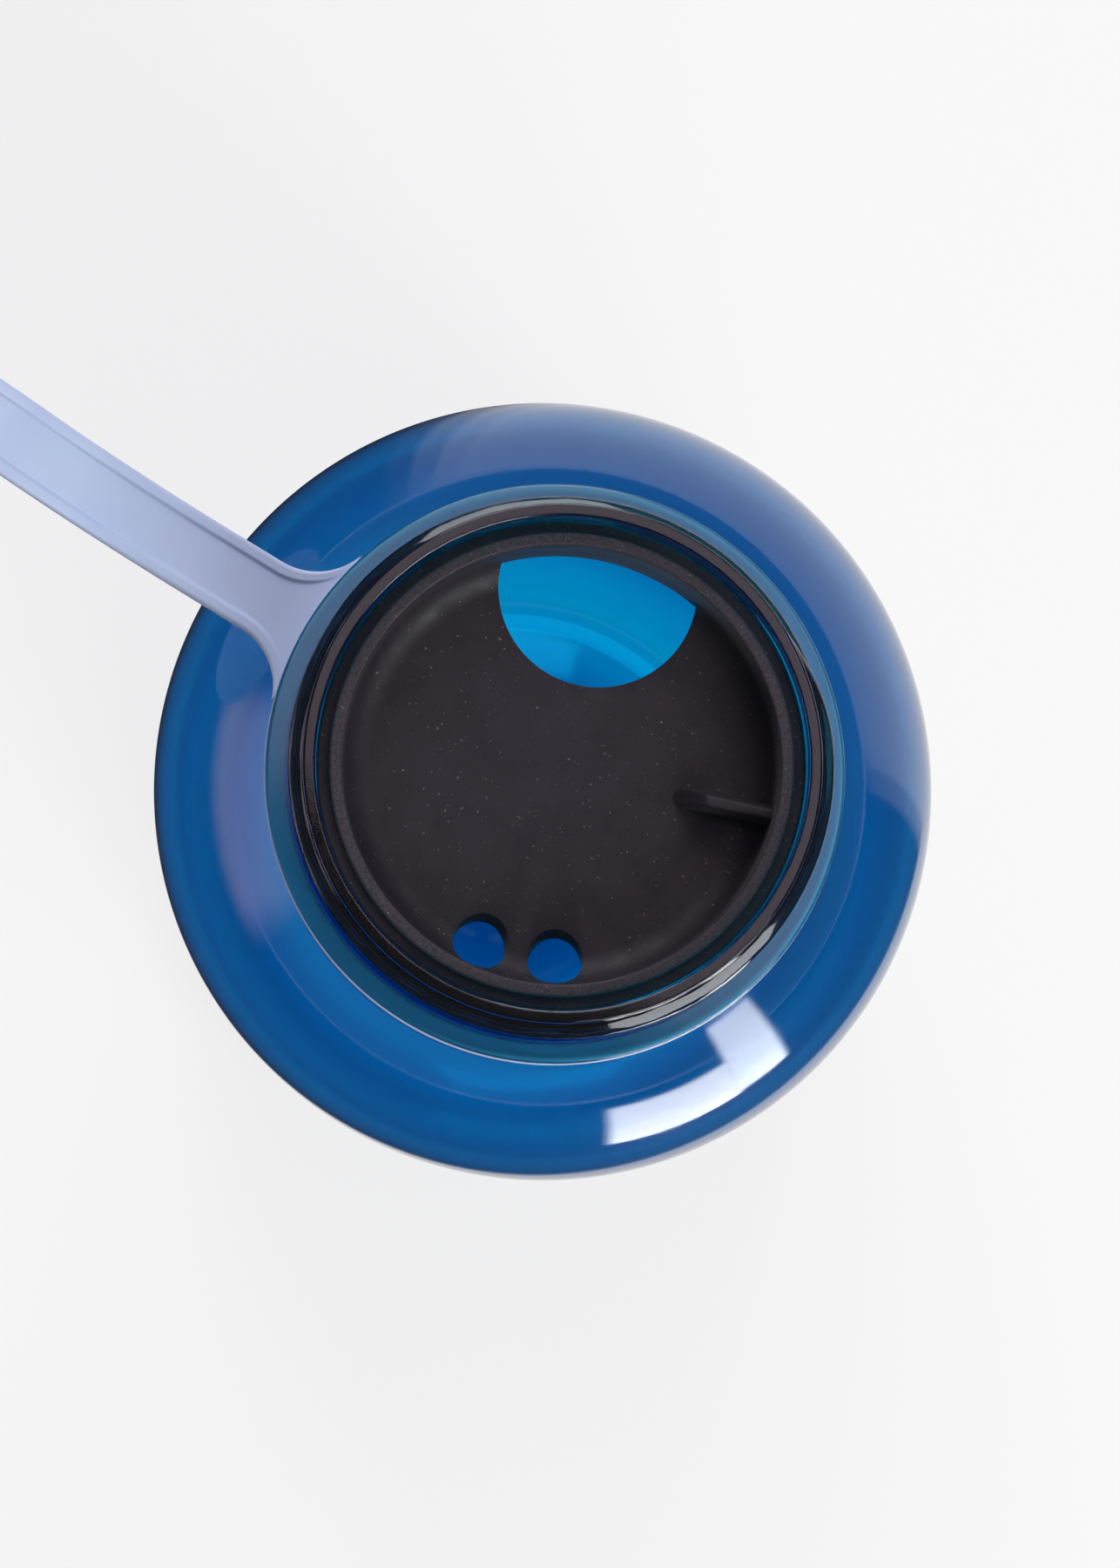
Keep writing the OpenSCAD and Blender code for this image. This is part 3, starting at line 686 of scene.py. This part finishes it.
tether_plastic = pale_plastic("periwinkle_tether_plastic", (184, 200, 233), (191, 207, 238), 0.42, 0.000006)
ring_top = RING_Z + RING_H
ring_line = outline([(RING_IN, RING_Z, 0.3), (RING_SHOWN, RING_Z, 0.45),
                     (RING_SHOWN, ring_top, 0.45), (RING_IN, ring_top, 0.3)], closed=True)
ring = grid_mesh("tether_ring_band", lathe_points(ring_line, 192), True, True)
shade(ring, tether_plastic)
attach(ring, "ring")
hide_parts("tether_ring")

for (name, near, far, nodes), low, high, bend in zip(BENDS, JOINS[:-1], JOINS[1:], FLEX):
    piece = strap_piece(name, low, high)
    shade(piece, tether_plastic)
    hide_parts(*nodes)
    strap_point(bend - REACH)
    strap_point(bend + REACH)
    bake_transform(piece)


def eye_frame():
    """The eye's middle, its way along the strap and the strap's upper side there, in millimetres."""
    u, h, slope = strap_line(np.array([EYE_S]))[:, 0]
    along = np.array([-math.cos(slope), 0, math.sin(slope)])
    up = np.array([math.sin(slope), 0, math.cos(slope)])
    return np.array([-u, 0, STRAP_Z + h]), along, up


EYE, ALONG, OUTWARD = eye_frame()
ACROSS = np.array([0.0, 1.0, 0.0])

eye_line = outline([(EYE_IN, -HALF_T, 0.4), (EYE_OUT, -HALF_T, 0.5),
                    (EYE_OUT, HALF_T, 0.5), (EYE_IN, HALF_T, 0.4)], closed=True)
eye_ring = grid_mesh("eye_ring", set_on(lathe_points(eye_line, 120), EYE, ALONG, -ACROSS, OUTWARD), True, True)
eye = joined("strap_eye", eye_ring, strap_piece("eye_stretch", JOINS[-1], EYE_S - EYE_LAP))
shade(eye, tether_plastic)
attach(eye, "eye")
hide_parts("strap_end")


# ---- Cap and its seal, drawn with the top face at z = 0 and the open rim below ----

def cap_line():
    """Half-outline of the cup-shaped cap, from the middle of its inside down the bore, over the open
    rim, up the skirt and over the top to the stud's middle."""
    head = 2 * HALF_T + 2 * EYE_GAP
    line = outline([
        (0, -CAP_TOP), (BORE_R, -CAP_TOP, 0.6), (BORE_R, -CAP_H, 0.4), (SKIRT_R, -CAP_H, 0.4),
        (SKIRT_R, 0, CAP_ROUND), (STUD_R, 0, 0.2), (STUD_R, head, 0.2), (STUD_HEAD_R, head, 0.4),
        (STUD_HEAD_R, head + STUD_HEAD_T, 0.7), (0, head + STUD_HEAD_T)])
    return dense(line, -CAP_H + 0.5, -CAP_TOP - 1.5, CAP_THREAD_STEP)


def cap_push(r, z, a):
    """Half-round grip ribs on the skirt, sqrt(R^2 - d^2) high at d from a rib's middle, that fade out
    under the rounded top edge, and the thread inside, which stands inwards."""
    width = 2 * math.pi / GRIPS
    d = (np.mod(a + width / 2, width) - width / 2) * SKIRT_R
    grip = np.sqrt(np.clip(GRIP_R ** 2 - d ** 2, 0, None)) * smooth((-GRIP_TOP - z) / GRIP_EASE)
    thread = ridge(z, a, CAP_THREAD_LOW - CAP_H + CAP_TURNS * THREAD_PITCH, CAP_THREAD_H, CAP_TURNS)
    return np.where(np.abs(r - SKIRT_R) < 0.02, grip, 0) - np.where(np.abs(r - BORE_R) < 0.02, thread, 0)


def on_eye(points):
    """Sets the cap's own frame on the strap's end, its top face against the strap."""
    return set_on(points, EYE + OUTWARD * (HALF_T + EYE_GAP), ALONG, ACROSS, -OUTWARD)


cap_plastic = pale_plastic("periwinkle_cap_plastic", (180, 196, 227), (187, 203, 232), 0.36, 0.000005)
cap = grid_mesh("screw_cap", on_eye(lathe_points(cap_line()[::-1], 600, cap_push))[::-1], False, True)
shade(cap, cap_plastic)
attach(cap, "cap")
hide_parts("cap")

seal_line = outline([(SEAL_IN, -CAP_TOP - SEAL_T, 0.35), (SEAL_OUT, -CAP_TOP - SEAL_T, 0.35),
                     (SEAL_OUT, -CAP_TOP, 0.1), (SEAL_IN, -CAP_TOP, 0.1)], closed=True)
seal = grid_mesh("cap_seal_ring", on_eye(lathe_points(seal_line, 160)), True, True)
shade(seal, pale_plastic("grey_seal_silicone", (156, 160, 170), (166, 170, 180), 0.55, 0.000012))
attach(seal, "cap")
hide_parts("cap_seal")


# ---- Floor and light ----

PAINTED_POOL_R = 0.08       # how far from the bottle's axis its painted pool of light reaches, in metres
# The painted pool's colour, from the bottle's axis outwards as shares of that radius: painted light and shade,
# dark in the middle and brightest in a ring
PAINTED_POOL = [(0.12, (0.0, 0.06, 0.28, 1)), (0.27, (0.0, 0.16, 0.50, 1)), (0.36, (0.0, 0.5, 0.88, 1)),
        (0.46, (0.0, 0.72, 1.0, 1)), (0.54, (0.0, 0.48, 0.85, 1)), (0.6, (0.0, 0.28, 0.62, 1)),
        (0.85, (0.0, 0.27, 0.63, 1)), (1.0, (0.3, 0.5, 0.75, 1))]
OWN_SHARE = 0.75    # how much of the floor's paleness is its own
SHADE_SHEET_Z = 1.5       # how high the dark sheet of painted shade lies, in millimetres


def pale_floor():
    """A plain pale floor that keeps the bottle's shadow. Part of its paleness is its own, to the eye, in
    reflections and through the bottle, and seen through the bottle it shows a painted pool of blue light and
    shade where the bottle's light falls under it."""
    bpy.ops.mesh.primitive_plane_add(size=6.0)
    floor = bpy.context.object
    floor.name = "floor"
    made, tree, shader, output = new_material("pale_floor")
    paper = mottle(tree, noise(tree, 3.0, 2.0), linear(244, 244, 244), linear(246, 246, 246))
    tree.links.new(paper, shader.inputs["Base Color"])
    shader.inputs["Roughness"].default_value = 0.9
    away = tree.nodes.new("ShaderNodeVectorMath")
    away.operation = "LENGTH"
    tree.links.new(own_place(tree), away.inputs[0])
    # Painted light: a pool of blue light and shade round the bottle's axis, seen only through the bottle.
    painted_pool = ramp(tree, maths(tree, "DIVIDE", away.outputs["Value"], PAINTED_POOL_R), PAINTED_POOL)
    own = tree.nodes.new("ShaderNodeEmission")
    through = ray_kinds(tree, "Is Transmission Ray")
    tree.links.new(mixed(tree, through, (0.985, 0.985, 0.985, 1), painted_pool), own.inputs["Color"])
    seen = ray_kinds(tree, "Is Camera Ray", "Is Glossy Ray", "Is Transmission Ray")
    share = maths(tree, "MULTIPLY", seen, OWN_SHARE)
    both = mixed_shaders(tree, share, shader.outputs["BSDF"], own.outputs["Emission"])
    tree.links.new(both, output.inputs["Surface"])
    shade(floor, made)


def pale_studio():
    """A pale surround: bright as a background, dim as a light."""
    world = bpy.data.worlds.new("studio")
    scene.world = world
    world.use_nodes = True
    tree = world.node_tree
    around = tree.nodes["Background"]
    around.inputs["Color"].default_value = (0.95, 0.93, 1.0, 1)
    level = remap(tree, ray_kinds(tree, "Is Camera Ray"), (0.0, 1.0), (0.13, 0.97))
    tree.links.new(level, around.inputs["Strength"])


def lamp(name, spot, target, size, power, colour=(1.0, 1.0, 1.0)):
    """A soft rectangular light that faces its target."""
    made = bpy.data.objects.new(name, bpy.data.lights.new(name, "AREA"))
    made.data.shape, made.data.size, made.data.size_y = "RECTANGLE", size[0], size[1]
    made.data.energy, made.data.color = power, colour
    made.location = spot
    made.rotation_euler = (Vector(target) - Vector(spot)).to_track_quat("-Z", "Y").to_euler()
    scene.collection.objects.link(made)


def painted_reflection_sheet(name, points, cover, tone, own=None):
    """A sheet that only reflections see, with its edges faded out by cover: a painted reflection. It is dark,
    as painted shade, or shines by itself as a painted highlight where a strength of its own is given; its tone
    drifts a little with a noise."""
    sheet = grid_mesh(name, points, False, False)
    sheet.data.attributes.new("cover", "FLOAT", "POINT").data.foreach_set("value", np.ravel(cover))
    made, tree, shader, output = new_material(name)
    painted_tone = mottle(tree, noise(tree, 40.0), (*tone, 1), (*[c * 1.12 for c in tone], 1))
    tree.links.new(painted_tone, shader.inputs["Base Color"])
    shader.inputs["Roughness"].default_value = 0.95
    if own:
        tree.links.new(painted_tone, shader.inputs["Emission Color"])
        shader.inputs["Emission Strength"].default_value = own
    covered = tree.nodes.new("ShaderNodeAttribute")
    covered.attribute_name = "cover"
    clear = tree.nodes.new("ShaderNodeBsdfTransparent")
    faded = mixed_shaders(tree, covered.outputs["Fac"], clear.outputs["BSDF"], shader.outputs["BSDF"])
    tree.links.new(faded, output.inputs["Surface"])
    shade(sheet, made)
    sheet.visible_camera = sheet.visible_diffuse = sheet.visible_transmission = sheet.visible_shadow = False


def painted_shade_sheet():
    """Painted shade, seen only in reflections: a dark sector on the floor, from near the bottle outwards, with
    its ends and inner edge faded.
    """
    n = 60
    rows = [arc(middle, radius, 136, 402, n)
            for middle, radius in (((0, 0), 2500), ((46, 6), 106), ((46, 6), 92))]
    points = np.stack([np.column_stack([row, np.full(n, SHADE_SHEET_Z)]) for row in rows])
    ends = smooth(np.minimum(np.arange(n) / 3.5, (n - 1 - np.arange(n)) / 2.0))
    painted_reflection_sheet("painted_shade_sheet", points, [ends, ends, 0 * ends], (0.028, 0.024, 0.03))


def painted_reflection_card(name, centre, half, fade, colour, strength):
    """An upright card of half width and half height that faces the bottle, with its edges faded over a share
    of its size. Only reflections see it, and it glows there as a painted reflection or highlight, though it is
    no lamp."""
    across, up = np.meshgrid(np.linspace(-1, 1, 33), np.linspace(-1, 1, 33))
    way = unit([-centre[1], centre[0], 0.0])
    rise = np.array([0, 0, 1.0])
    points = np.array(centre) - half[0] * across[..., None] * way + half[1] * up[..., None] * rise
    cover = smooth((1 - np.abs(across)) / fade[0]) * smooth((1 - np.abs(up)) / fade[1])
    painted_reflection_sheet(name, points, cover, colour, strength)


pale_floor()
pale_studio()
lamp("softbox_key", (1.0, -0.47, 0.98), (0, 0, 0.15), (0.9, 0.9), 14)
lamp("softbox_far", (-0.9, 1.3, 1.1), (0, 0, 0.1), (1.2, 1.2), 18)
lamp("softbox_overhead", (-0.2, 0.7, 1.7), (-0.2, 0.7, 0), (1.4, 1.3), 6.6, (1.0, 0.84, 1.0))
# Painted shade: a dark sheet on the floor that only reflections see.
painted_shade_sheet()
# Glowing cards that only reflections see, and no lamps: a pinkish painted reflection at the side and two
# painted window highlights.
painted_reflection_card("painted_reflection_side", (-205.0, -140.0, 178.0), (125.0, 85.0), (0.45, 0.6), (1.0, 0.8, 0.86), 0.52)
painted_reflection_card("painted_highlight_low", (209.5, -143.0, 58.0), (59.0, 69.0), (0.22, 0.14), (0.82, 0.82, 0.82), 9.2)
painted_reflection_card("painted_highlight_tall", (246.0, -82.0, 112.0), (27.0, 108.0), (0.3, 0.1), (0.78, 0.82, 0.86), 9.8)

scene.view_settings.view_transform = "Standard"
